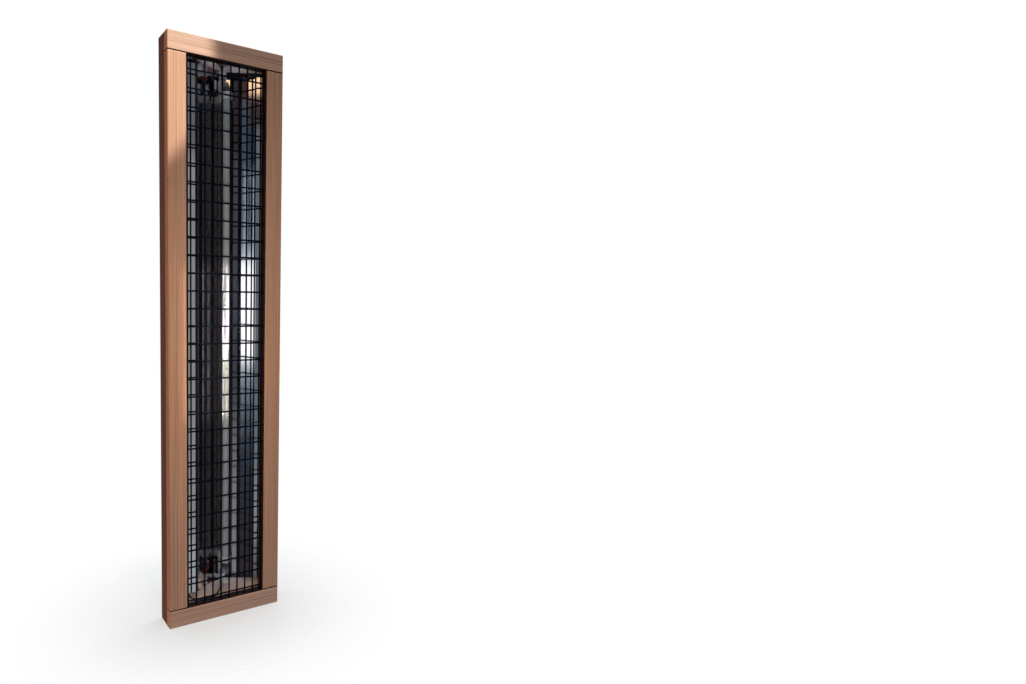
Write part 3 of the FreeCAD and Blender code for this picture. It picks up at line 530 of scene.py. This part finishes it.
def solid_boxes(node):
    """The lowest and highest corner of each separate solid in a node."""
    work = bmesh.new()
    work.from_mesh(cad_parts[node].data)
    bmesh.ops.remove_doubles(work, verts=work.verts[:], dist=SAME_PLACE)
    waiting = set(work.verts)
    boxes = []
    while waiting:
        reach = [waiting.pop()]
        places = []
        while reach:
            vertex = reach.pop()
            places.append(vertex.co.copy())
            near = {edge.other_vert(vertex) for edge in vertex.link_edges} & waiting
            waiting -= near
            reach.extend(near)
        corners = [[choose(place[axis] for place in places) for axis in range(3)] for choose in (min, max)]
        boxes.append(tuple(Vector(corner) for corner in corners))
    work.free()
    return boxes


def angles_round(turns):
    return [FULL_TURN * turn / turns for turn in range(turns)]


def add_rings(work, rings):
    """Joins closed rings of points into a skin, and closes its two ends with a fan."""
    loops = [[work.verts.new(place) for place in ring] for ring in rings]
    for lower, upper in zip(loops, loops[1:]):
        count = len(lower)
        for step in range(count):
            after = (step + 1) % count
            work.faces.new((lower[step], lower[after], upper[after], upper[step]))
    for loop, flip in ((loops[0], True), (loops[-1], False)):
        tip = work.verts.new(sum((vertex.co for vertex in loop), Vector()) / len(loop))
        for step in range(len(loop)):
            pair = (loop[step], loop[(step + 1) % len(loop)])
            work.faces.new((*(pair[::-1] if flip else pair), tip))


# Screws by node: name of the detailed piece, side that the head faces, head radius, head height and shank radius.
SCREWS = {
    "reflector_screws": ("reflector_pan_screws", "-Y", 3.0 * MM, 1.6 * MM, 1.5 * MM),
    "ledger_screws": ("ledger_pan_screws", "+X", 3.5 * MM, 2.0 * MM, 2.0 * MM),
    "wire_clip_screws": ("wire_clip_pan_screws", "+X", 2.5 * MM, 1.5 * MM, 1.4 * MM),
}
SCREW_TURNS, CROWN_RINGS, RINGS_TO_A_THREAD = 48, 18, 8
# The cross recess, as shares of the head's radius and height, and how steep its walls and ends are.
RECESS_REACH, RECESS_HALF, RECESS_DEPTH = 0.62, 0.13, 0.55
RECESS_WALL, RECESS_END = 3.0, 2.0
# The crown, as shares of the head's radius and height: its fall to the rim, how late it falls, and where it starts.
CROWN_FALL, CROWN_POWER, CROWN_RADIUS = 0.55, 3.2, 0.985
# The head's rim under the crown: shares of the head's radius and height.
RIM = ((0.97, 0.0), (1.0, 0.12), (1.0, 0.36))
# The thread and the point, as shares of the shank's radius.
THREAD_PITCH, THREAD_DEPTH, POINT_LENGTH, POINT_BLUNT = 0.84, 0.16, 2.2, 0.08
# How far each screw is turned from the one before it.
SCREW_STEP = 0.7


def screw_rings(place, head_radius, head_height, shank_radius, length):
    """A pan-head screw with a cross recess and a rolled thread. place turns its own +Z into the head's side."""
    recess_reach, recess_half = RECESS_REACH * head_radius, RECESS_HALF * head_radius
    recess_depth = RECESS_DEPTH * head_height
    thread_pitch, thread_depth = THREAD_PITCH * shank_radius, THREAD_DEPTH * shank_radius
    point_length = POINT_LENGTH * shank_radius
    rings = []

    def ring(radius_at, height_at):
        points = []
        for angle in angles_round(SCREW_TURNS):
            radius = radius_at(angle)
            x, y = radius * math.cos(angle), radius * math.sin(angle)
            points.append(place @ Vector((x, y, height_at(x, y))))
        rings.append(points)

    def crown(x, y):
        share = math.hypot(x, y) / head_radius
        dome = head_height * (1.0 - CROWN_FALL * share ** CROWN_POWER)
        arm = max(recess_half - min(abs(x), abs(y)), 0.0) / recess_half
        taper = max(1.0 - max(abs(x), abs(y)) / recess_reach, 0.0)
        return dome - recess_depth * min(RECESS_WALL * arm, 1.0) * min(RECESS_END * taper, 1.0)

    thread_steps = int(length / thread_pitch * RINGS_TO_A_THREAD)
    for step in range(thread_steps + 1):
        height = -length + length * step / thread_steps
        swell = min((height + length) / point_length + POINT_BLUNT, 1.0)

        def thread(angle, height=height, swell=swell):
            phase = (height / thread_pitch - angle / FULL_TURN) % 1.0
            ridge = abs(2.0 * phase - 1.0)
            return swell * (shank_radius - thread_depth * (1.0 - ridge))

        ring(thread, lambda x, y, height=height: height)
    for across, up in RIM:
        ring(lambda angle, radius=across * head_radius: radius, lambda x, y, height=up * head_height: height)
    for step in range(CROWN_RINGS):
        radius = head_radius * CROWN_RADIUS * (1.0 - step / CROWN_RINGS)
        ring(lambda angle, radius=radius: radius, crown)
    return rings


def screws(node, name, outward, head_radius, head_height, shank_radius, material):
    """Replaces a node's plain screws by ones with a thread and a cross recess, each at its own place."""
    axis = "XYZ".index(outward[1])
    sign = 1.0 if outward[0] == "+" else -1.0
    work = bmesh.new()
    direction = Vector([sign if index == axis else 0.0 for index in range(3)])
    turn = direction.to_track_quat("Z", "Y").to_matrix().to_4x4()
    for number, (low, high) in enumerate(sorted(solid_boxes(node), key=lambda pair: tuple(pair[0]))):
        middle = (low + high) / 2
        seat = (high[axis] if sign > 0 else low[axis]) - sign * head_height
        tip = low[axis] if sign > 0 else high[axis]
        middle[axis] = seat
        place = Matrix.Translation(middle) @ turn @ Matrix.Rotation(SCREW_STEP * number, 4, "Z")
        add_rings(work, screw_rings(place, head_radius, head_height, shank_radius, abs(tip - seat)))
    piece = new_piece(name, work, material, "wall_casing")
    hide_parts(node)


# Weld beads: rings and points of each, their reach and depth in wire radii, and how uneven they are.
BEAD_BANDS, BEAD_TURNS = 7, 12
BEAD_REACH, BEAD_DEPTH = 1.22, 0.62
BEAD_UNEVEN, BEAD_COLUMN_STEP, BEAD_ROW_STEP = 0.12, 7.1, 3.7


def weld_beads(material):
    """A small flattened bead of weld metal at each crossing of the grille wires."""
    long_low, long_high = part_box("grille_long_wires")
    cross_low, cross_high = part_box("grille_cross_wires")
    columns = round((long_high.x - long_low.x) / LONG_PITCH) + 1
    rows = round((cross_high.z - cross_low.z) / CROSS_PITCH) + 1
    seam = (long_high.y + cross_low.y) / 2
    work = bmesh.new()
    ball = []
    for band in range(BEAD_BANDS):
        tilt = math.pi * (band + 0.5) / BEAD_BANDS
        waist, level = math.sin(tilt), -math.cos(tilt)
        ball.append([Vector((waist * math.cos(angle), waist * math.sin(angle), level))
                     for angle in angles_round(BEAD_TURNS)])
    for column in range(columns):
        for row in range(rows):
            x = long_low.x + WIRE_RADIUS + column * LONG_PITCH
            z = cross_low.z + WIRE_RADIUS + row * CROSS_PITCH
            uneven = 1.0 + BEAD_UNEVEN * math.sin(BEAD_COLUMN_STEP * column + BEAD_ROW_STEP * row)
            radii = (BEAD_REACH * uneven * WIRE_RADIUS, BEAD_DEPTH * WIRE_RADIUS, BEAD_REACH / uneven * WIRE_RADIUS)
            place = Matrix.Translation((x, seam, z)) @ Matrix.Diagonal((*radii, 1.0))
            add_rings(work, [[place @ point for point in ring] for ring in ball])
    new_piece("grille_weld_beads", work, material, "grille_frame")


# Cable slots in the reflector: their places, the lean of the facet they are in and the size of the pad behind.
SLOT_X, SLOT_BACK, SLOT_LEVELS = -13.2 * MM, -5.1 * MM, (349.5 * MM, -336.5 * MM)
SLOT_LEAN = math.radians(23.7)
PAD_HALF_WIDTH, PAD_HALF_HEIGHT, PAD_THICKNESS = 4.2 * MM, 7.5 * MM, 0.5 * MM
PAD_TURNS, PAD_SQUARENESS = 48, 0.35
# The pad's rim: share of its size by share of its thickness.
PAD_RIM = ((0.93, 0.0), (1.0, 0.3), (1.0, 0.7), (0.93, 1.0))


def squared(value):
    return math.copysign(abs(value) ** PAD_SQUARENESS, value)


def slot_pads(material):
    """A pad of dark fibre behind each cable slot of the reflector, with rounded corners and a soft rim."""
    work = bmesh.new()
    for height in SLOT_LEVELS:
        place = Matrix.Translation((SLOT_X, SLOT_BACK, height)) @ Matrix.Rotation(SLOT_LEAN, 4, "Z")
        rings = []
        for share, depth in PAD_RIM:
            points = []
            for angle in angles_round(PAD_TURNS):
                across = share * PAD_HALF_WIDTH * squared(math.cos(angle))
                along = share * PAD_HALF_HEIGHT * squared(math.sin(angle))
                points.append(place @ Vector((across, -depth * PAD_THICKNESS, along)))
            rings.append(points)
        add_rings(work, rings)
    new_piece("slot_fibre_pads", work, material, "wall_casing")


# Butt splices: points round and along each, the crimps' places, width and depth, and the roll at the ends.
SPLICE_TURNS, SPLICE_STEPS = 40, 60
CRIMPS, CRIMP_WIDTH, CRIMP_DEPTH = (0.28, 0.72), 0.055, 0.7 * MM
ROLL_DEPTH, ROLL_LENGTH = 0.35 * MM, 0.8 * MM


def crimped_splices(material):
    """The two butt splices, with rolled ends and a pair of crimp dents each."""
    work = bmesh.new()
    for low, high in solid_boxes("butt_splices"):
        middle = (low + high) / 2
        radius = (high.x - low.x) / 2
        rings = []
        for step in range(SPLICE_STEPS + 1):
            share = step / SPLICE_STEPS
            height = low.z + share * (high.z - low.z)
            end = min(share, 1.0 - share) * (high.z - low.z)
            rolled = radius - ROLL_DEPTH * max(1.0 - end / ROLL_LENGTH, 0.0) ** 2
            dent = max(math.exp(-((share - crimp) / CRIMP_WIDTH) ** 2) for crimp in CRIMPS)
            points = []
            for angle in angles_round(SPLICE_TURNS):
                here = rolled - CRIMP_DEPTH * dent * math.sin(angle) ** 2
                points.append(Vector((middle.x + here * math.cos(angle), middle.y + here * math.sin(angle), height)))
            rings.append(points)
        add_rings(work, rings)
    piece = new_piece("crimped_butt_splices", work, material, "wall_casing")
    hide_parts("butt_splices")


# Stage

FLOOR_HEIGHT = cad_low.z - 0.2 * MM
FLOOR_REACH = 0.4
FLOOR_LIGHT, FLOOR_PALE = (0.84, 0.84, 0.84), (0.88, 0.88, 0.88)
FLOOR_FADE_FROM, FLOOR_FADE_TO, FLOOR_CLEAR = 0.09, 0.30, 0.45


def pale_floor():
    """A pale floor round the object that fades into the white surround."""
    work = bmesh.new()
    bmesh.ops.create_grid(work, x_segments=1, y_segments=1, size=FLOOR_REACH)
    mesh = bpy.data.meshes.new("floor")
    work.to_mesh(mesh)
    work.free()
    floor = bpy.data.objects.new("floor", mesh)
    floor.location.z = FLOOR_HEIGHT
    bpy.context.scene.collection.objects.link(floor)
    material, tree, shader = new_material("floor_paper")
    point = object_point(tree)
    fibre = noise(tree, point, 300.0, detail=3.0)
    feed(tree, shader, Base_Color=blend(tree, fibre, FLOOR_LIGHT, FLOOR_PALE), Roughness=0.9)
    fade = spread(tree, length_of(tree, point), low=FLOOR_CLEAR, start=FLOOR_FADE_FROM, end=FLOOR_FADE_TO,
                  kind="SMOOTHSTEP")
    rays = add(tree, "ShaderNodeLightPath").outputs
    unseen = calc(tree, "MAXIMUM", rays["Is Glossy Ray"], rays["Is Shadow Ray"])
    clear = add(tree, "ShaderNodeBsdfTransparent").outputs[0]
    share = calc(tree, "MAXIMUM", fade, unseen)
    mixed = add(tree, "ShaderNodeMixShader", {0: share, 1: shader.outputs[0], 2: clear}).outputs[0]
    tree.links.new(mixed, tree.nodes["Material Output"].inputs["Surface"])
    mesh.materials.append(material)


# Brightness of the studio round the object, by the angle in degrees to the right of straight ahead of it.
STUDIO_TONES = [
    (-180.0, (0.85, 0.85, 0.85)),
    (-145.0, (0.45, 0.45, 0.45)),
    (-115.0, (0.12, 0.12, 0.12)),
    (-88.0, (0.06, 0.06, 0.06)),
    (-68.0, (0.05, 0.055, 0.065)),
    (-52.0, (0.017, 0.026, 0.045)),
    (-36.0, (0.017, 0.026, 0.045)),
    (-30.0, (0.052, 0.054, 0.064)),
    (-22.0, (0.052, 0.054, 0.064)),
    (-18.0, (0.045, 0.045, 0.05)),
    (-13.0, (0.05, 0.055, 0.06)),
    (-10.0, (0.12, 0.135, 0.145)),
    (-2.0, (0.13, 0.145, 0.155)),
    (1.0, (0.05, 0.05, 0.05)),
    (14.5, (0.045, 0.045, 0.045)),
    (16.2, (0.25, 0.25, 0.255)),
    (21.0, (0.26, 0.26, 0.265)),
    (23.5, (0.026, 0.018, 0.020)),
    (29.5, (0.018, 0.013, 0.016)),
    (31.0, (0.006, 0.006, 0.010)),
    (34.0, (0.006, 0.006, 0.010)),
    (41.0, (0.042, 0.019, 0.017)),
    (49.0, (0.042, 0.019, 0.017)),
    (57.0, (0.05, 0.05, 0.05)),
    (66.0, (0.10, 0.10, 0.10)),
    (75.0, (0.05, 0.05, 0.05)),
    (82.0, (0.012, 0.012, 0.016)),
    (104.0, (0.012, 0.012, 0.016)),
    (122.0, (0.40, 0.40, 0.40)),
    (145.0, (0.75, 0.75, 0.75)),
    (180.0, (0.85, 0.85, 0.85)),
]
# Heights, as the sine of the angle above the horizon, between which the studio turns pale, and its tone above them.
PALE_FROM, PALE_FULL, PALE_TONE = 0.26, 0.33, (0.27, 0.30, 0.35)
# Cards in the studio: from and to in degrees to the right, from and to in height, and tone.
CARDS = [
    (-31.0, -21.0, 0.20, 0.317, (0.030, 0.020, 0.020)),
    (-47.5, -43.0, 0.270, 0.317, (0.055, 0.025, 0.022)),
    (-42.6, -38.0, 0.281, 0.60, (1.2, 0.77, 0.46)),
    (-11.0, -2.0, 0.281, 0.60, (1.2, 0.77, 0.46)),
    (-42.6, -38.0, 0.240, 0.281, (0.030, 0.022, 0.024)),
    (-11.0, -2.0, 0.240, 0.281, (0.030, 0.022, 0.024)),
    (8.0, 26.0, 0.20, 0.60, (0.12, 0.12, 0.125)),
    (-29.5, -22.0, -0.60, -0.21, (0.19, 0.19, 0.195)),
    (-11.0, -2.0, -0.355, -0.30, (0.45, 0.45, 0.44)),
    (-11.0, -2.0, -0.60, -0.355, (0.045, 0.04, 0.04)),
    (-47.5, -38.0, -0.60, -0.325, (0.030, 0.022, 0.024)),
    (12.0, 24.0, -0.60, -0.36, (0.33, 0.34, 0.37)),
]
CARD_BLUR_ACROSS, CARD_BLUR_UP = 0.7 / FULL_CIRCLE, 0.006


def share_round(degrees):
    """Share of the way round the studio, with straight ahead in the middle."""
    return 0.5 + degrees / FULL_CIRCLE


def studio_world():
    """A white surround for the camera, with darker and lighter stretches in front for the polished sheet to show."""
    world = bpy.data.worlds.new("studio")
    bpy.context.scene.world = world
    world.use_nodes = True
    tree = world.node_tree
    axes = split(tree, add(tree, "ShaderNodeTexCoord").outputs["Generated"])
    angle = calc(tree, "ARCTAN2", axes["X"], calc(tree, "MULTIPLY", axes["Y"], -1.0))
    share = calc(tree, "ADD", calc(tree, "DIVIDE", angle, FULL_TURN), 0.5)
    tones = ramp(tree, share, [(share_round(degrees), tone) for degrees, tone in STUDIO_TONES])
    pale = spread(tree, axes["Z"], start=PALE_FROM, end=PALE_FULL, kind="SMOOTHSTEP")
    tones = blend(tree, pale, tones, PALE_TONE)
    for left, right, low, high, tone in CARDS:
        sides = edge_pair(tree, share, share_round(left), share_round(right), CARD_BLUR_ACROSS)
        ends = edge_pair(tree, axes["Z"], low, high, CARD_BLUR_UP)
        tones = blend(tree, calc(tree, "MULTIPLY", sides, ends), tones, tone)
    seen = add(tree, "ShaderNodeLightPath").outputs["Is Camera Ray"]
    tree.links.new(blend(tree, seen, tones, WHITE), tree.nodes["Background"].inputs["Color"])


# Panes of a tall window at the front left: name, middle height, width, height, power and colour.
WINDOW_X, WINDOW_Y = -1.06, -1.06
WINDOW_PANES = [
    ("window_box", -0.0045, 0.46, 0.391, 0.694, WHITE),
    ("low_glow", -0.2275, 0.46, 0.055, 0.0254, (0.74, 0.88, 1.0)),
    ("low_sky", -0.3075, 0.46, 0.105, 0.019, (0.70, 0.84, 1.0)),
    ("low_dusk", -0.405, 0.46, 0.09, 0.0058, (0.68, 0.80, 1.0)),
    ("sky_glow", 0.221, 0.40, 0.06, 0.021, (0.66, 0.83, 1.0)),
    ("sky_box", 0.3885, 0.30, 0.275, 0.010, (0.74, 0.82, 1.0)),
    ("sky_top", 0.65, 0.30, 0.28, 0.012, (0.66, 0.82, 1.0)),
]
# Other panels: name, place, aim, width, height, power and colour. The streaks show in reflections, the fills don't.
STREAK_COLOUR = (0.78, 0.90, 1.0)
STREAK_PANELS = [
    ("sky_streak_outer", (-1.008, -1.090, 0.36), (0.043, -0.02, 0.36), 0.014, 0.33, 0.006, STREAK_COLOUR),
    ("sky_streak_inner", (-0.928, -1.161, 0.36), (0.05, -0.024, 0.36), 0.014, 0.33, 0.006, STREAK_COLOUR),
]
FILL_PANELS = [
    ("key_panel", (-0.10, -0.50, 0.0), (0.0, 0.0, 0.0), 0.25, 0.25, 1.42, (1.0, 0.90, 0.66)),
    ("tube_strip", (0.344, -0.855, 0.042), (0.007, -0.021, 0.042), 0.01, 0.10, 0.031, (0.95, 1.0, 0.97)),
    ("tube_side_strip", (-0.608, -0.334, -0.0075), (0.007, -0.021, -0.0075), 0.01, 0.215, 0.046, (1.0, 0.96, 0.82)),
    ("cool_fill", (0.3, -1.6, -0.35), (0.0, 0.0, -0.1), 1.2, 1.2, 6.5, (0.22, 0.46, 1.0)),
    ("right_fill", (1.3, 0.35, 0.1), (0.0, 0.0, 0.0), 0.6, 0.8, 6.0, WHITE),
    ("left_fill", (-1.0, 0.30, -0.25), (0.0, 0.0, -0.05), 0.5, 0.5, 1.0, WHITE),
    ("overhead", (0.0, 0.05, 2.0), (0.0, 0.0, 0.0), 0.5, 0.5, 25.0, WHITE),
]
# Panels whose light is held to a narrow spread, in degrees.
NARROW_SPREAD = {"tube_strip": 5.0, "tube_side_strip": 3.0}
# The patch of sun on the upper left corner: its lamp's place and aim, power, colour, cone in degrees, edge and radius.
SUN_PLACE, SUN_AIM = (0.35, -1.45, 1.25), (-0.165, -0.042, 0.372)
SUN_POWER, SUN_COLOUR = 195.0, (0.94, 1.04, 1.12)
SUN_CONE, SUN_BLEND, SUN_RADIUS = 9.7, 0.22, 0.01


def hang(light, place, aim):
    lamp = bpy.data.objects.new(light.name, light)
    lamp.location = place
    lamp.rotation_euler = (Vector(aim) - Vector(place)).to_track_quat("-Z", "Y").to_euler()
    bpy.context.scene.collection.objects.link(lamp)
    return lamp


def softbox(name, place, aim, width, height, power, colour):
    light = bpy.data.lights.new(name, "AREA")
    light.shape = "RECTANGLE"
    light.size, light.size_y = width, height
    light.energy = power
    light.color = colour
    if name in NARROW_SPREAD:
        light.spread = math.radians(NARROW_SPREAD[name])
    return hang(light, place, aim)


def sun_patch():
    light = bpy.data.lights.new("sun_patch", "SPOT")
    light.energy = SUN_POWER
    light.color = SUN_COLOUR
    light.spot_size = math.radians(SUN_CONE)
    light.spot_blend = SUN_BLEND
    light.shadow_soft_size = SUN_RADIUS
    return hang(light, SUN_PLACE, SUN_AIM)


def studio_lights():
    for name, level, *values in WINDOW_PANES:
        softbox(name, (WINDOW_X, WINDOW_Y, level), (0.0, 0.0, level), *values)
    for values in STREAK_PANELS:
        softbox(*values)
    for hidden in [softbox(*values) for values in FILL_PANELS] + [sun_patch()]:
        hidden.visible_glossy = False


def photo_camera():
    camera = bpy.data.cameras.new("photo_camera")
    camera.sensor_width = SENSOR_WIDTH
    camera.lens = FOCAL_PIXELS * SENSOR_WIDTH / PHOTO_WIDTH
    camera.shift_x = (PHOTO_WIDTH / 2 - AXIS_PIXEL_X) / PHOTO_WIDTH
    camera.shift_y = (AXIS_PIXEL_Y - PHOTO_HEIGHT / 2) / PHOTO_WIDTH
    camera.clip_start = CLIP_START
    holder = bpy.data.objects.new("photo_camera", camera)
    upright = Matrix.Rotation(math.radians(90.0 + CAMERA_PITCH), 4, "X")
    turned = Matrix.Rotation(math.radians(-CAMERA_YAW), 4, "Z") @ upright
    rolled = turned @ Matrix.Rotation(math.radians(CAMERA_ROLL), 4, "Z")
    holder.matrix_world = Matrix.Translation(CAMERA_PLACE) @ rolled
    bpy.context.scene.collection.objects.link(holder)
    bpy.context.scene.camera = holder


finishes = finish_solids()
soften_edges()
weld_beads(finishes["coat"])
for screw_node, screw_values in SCREWS.items():
    screws(screw_node, *screw_values, finishes["zinc"])
slot_pads(finishes["fibre"])
crimped_splices(finishes["splice"])
pale_floor()
studio_world()
studio_lights()
photo_camera()
bpy.context.scene.view_settings.view_transform = "Standard"
